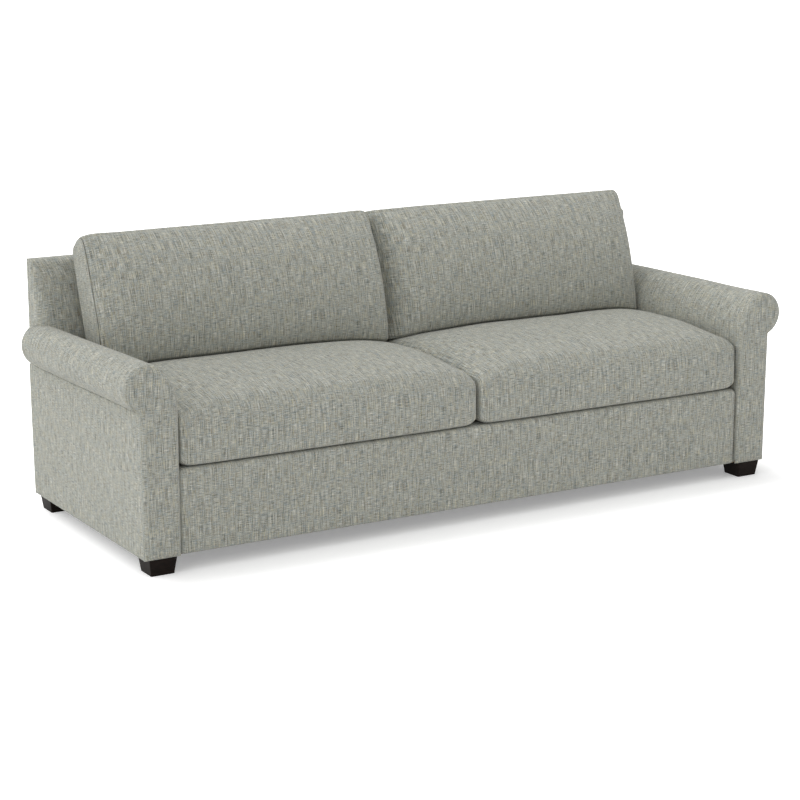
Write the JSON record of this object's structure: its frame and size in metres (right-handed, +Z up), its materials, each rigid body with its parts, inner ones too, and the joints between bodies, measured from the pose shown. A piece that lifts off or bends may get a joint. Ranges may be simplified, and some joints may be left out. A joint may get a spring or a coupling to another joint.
{
  "type": "roll-arm sofa",
  "caption": "Fabric roll-arm sofa with loose crowned seat and back cushions on a sprung hardwood frame with dark tapered block feet.",
  "frame": {"origin": "on the floor, under the middle of the sofa", "axes": "+X to the right as seen from the front, +Y to the back, +Z up"},
  "size_m": [2.412, 0.88, 0.9231],
  "materials": {
    "tweed": "matte",
    "foam": "matte",
    "decking": "matte",
    "dust_cloth": "matte",
    "webbing": "matte",
    "zip_nylon": "matte",
    "frame_wood": "matte",
    "espresso_wood": "satin",
    "steel": "satin"
  },
  "bodies": {
    "sofa_frame": {"back_inside_cover": "tweed", "back_lower_rail": "frame_wood", "back_outside_panel": "tweed", "back_padding": "foam", "back_top_rail": "frame_wood", "back_webbing": "webbing", "centre_back_post": "frame_wood", "centre_stretcher": "frame_wood", "corner_block_screws": "steel", "corner_blocks": "frame_wood", "deck_cloth": "decking", "deck_padding": "foam", "dust_cover": "dust_cloth", "foot_bolts_and_nuts": "steel", "front_border_cover": "tweed", "front_border_padding": "foam", "front_left_foot": "espresso_wood", "front_rail": "frame_wood", "front_right_foot": "espresso_wood", "left_arm_base_board": "frame_wood", "left_arm_front_panel": "tweed", "left_arm_front_post": "frame_wood", "left_arm_inside_board": "frame_wood", "left_arm_inside_cover": "tweed", "left_arm_inside_padding": "foam", "left_arm_outside_panel": "tweed", "left_arm_roll_padding": "foam", "left_arm_top_rail": "frame_wood", "left_back_end_panel": "tweed", "left_back_post": "frame_wood", "left_side_rail": "frame_wood", "rear_left_foot": "espresso_wood", "rear_rail": "frame_wood", "rear_right_foot": "espresso_wood", "right_arm_base_board": "frame_wood", "right_arm_front_panel": "tweed", "right_arm_front_post": "frame_wood", "right_arm_inside_board": "frame_wood", "right_arm_inside_cover": "tweed", "right_arm_inside_padding": "foam", "right_arm_outside_panel": "tweed", "right_arm_roll_padding": "foam", "right_arm_top_rail": "frame_wood", "right_back_end_panel": "tweed", "right_back_post": "frame_wood", "right_side_rail": "frame_wood", "seat_springs": "steel", "spring_clips": "steel"},
    "left_seat_cushion": {"left_seat_cushion_core": "foam", "left_seat_cushion_cover": "tweed", "left_seat_cushion_zip": "zip_nylon"},
    "right_seat_cushion": {"right_seat_cushion_core": "foam", "right_seat_cushion_cover": "tweed", "right_seat_cushion_zip": "zip_nylon"},
    "left_back_cushion": {"left_back_cushion_core": "foam", "left_back_cushion_cover": "tweed", "left_back_cushion_zip": "zip_nylon"},
    "right_back_cushion": {"right_back_cushion_core": "foam", "right_back_cushion_cover": "tweed", "right_back_cushion_zip": "zip_nylon"}
  },
  "joints": [
    {"name": "left_seat_cushion_slide", "type": "slide", "parent": "sofa_frame", "child": "left_seat_cushion", "axis": [0, -1, 0], "range_m": [0, 0.7]},
    {"name": "right_seat_cushion_slide", "type": "slide", "parent": "sofa_frame", "child": "right_seat_cushion", "axis": [0, -1, 0], "range_m": [0, 0.7]},
    {"name": "left_back_cushion_lift", "type": "slide", "parent": "sofa_frame", "child": "left_back_cushion", "axis": [0, 0, 1], "range_m": [0, 0.45]},
    {"name": "right_back_cushion_lift", "type": "slide", "parent": "sofa_frame", "child": "right_back_cushion", "axis": [0, 0, 1], "range_m": [0, 0.45]}
  ]
}
